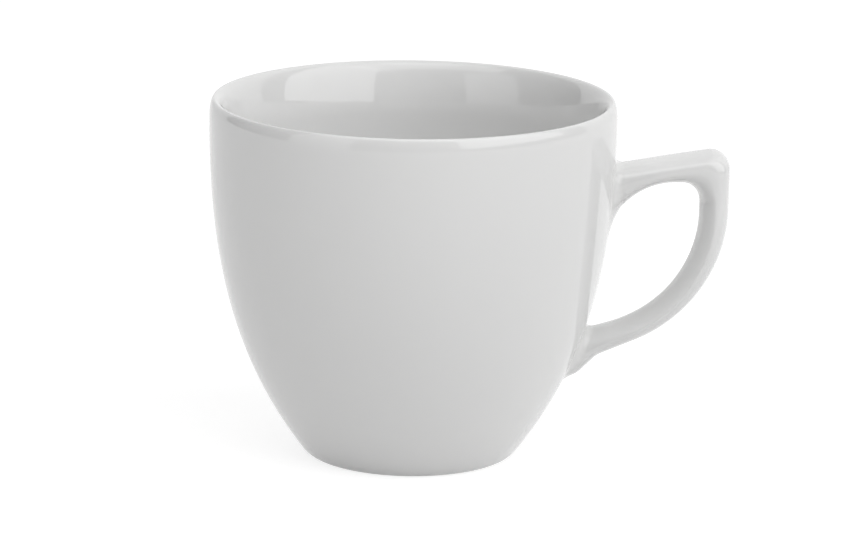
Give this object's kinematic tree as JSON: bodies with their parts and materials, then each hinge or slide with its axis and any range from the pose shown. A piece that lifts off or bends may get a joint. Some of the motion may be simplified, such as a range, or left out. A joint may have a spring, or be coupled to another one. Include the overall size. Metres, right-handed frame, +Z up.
{
  "type": "espresso cup",
  "caption": "White glazed porcelain espresso cup with a rounded tapering bowl, a low foot ring and a cast loop handle with a flat rising top arm.",
  "frame": {"origin": "on the table, under the middle of the cup's box; the bowl's own axis stands at x = -0.00905 m", "axes": "+X from the bowl towards the handle, +Z up, +Y away from the viewer"},
  "size_m": [0.083, 0.065, 0.0579],
  "materials": {
    "glazed_porcelain": "clear gloss glaze on white porcelain",
    "glazed_slip": "clear gloss glaze over joining slip"
  },
  "bodies": {
    "root": {"cup_body": "glazed_porcelain", "handle": "glazed_porcelain", "upper_luting_slip": "glazed_slip", "lower_luting_slip": "glazed_slip"}
  },
  "joints": []
}
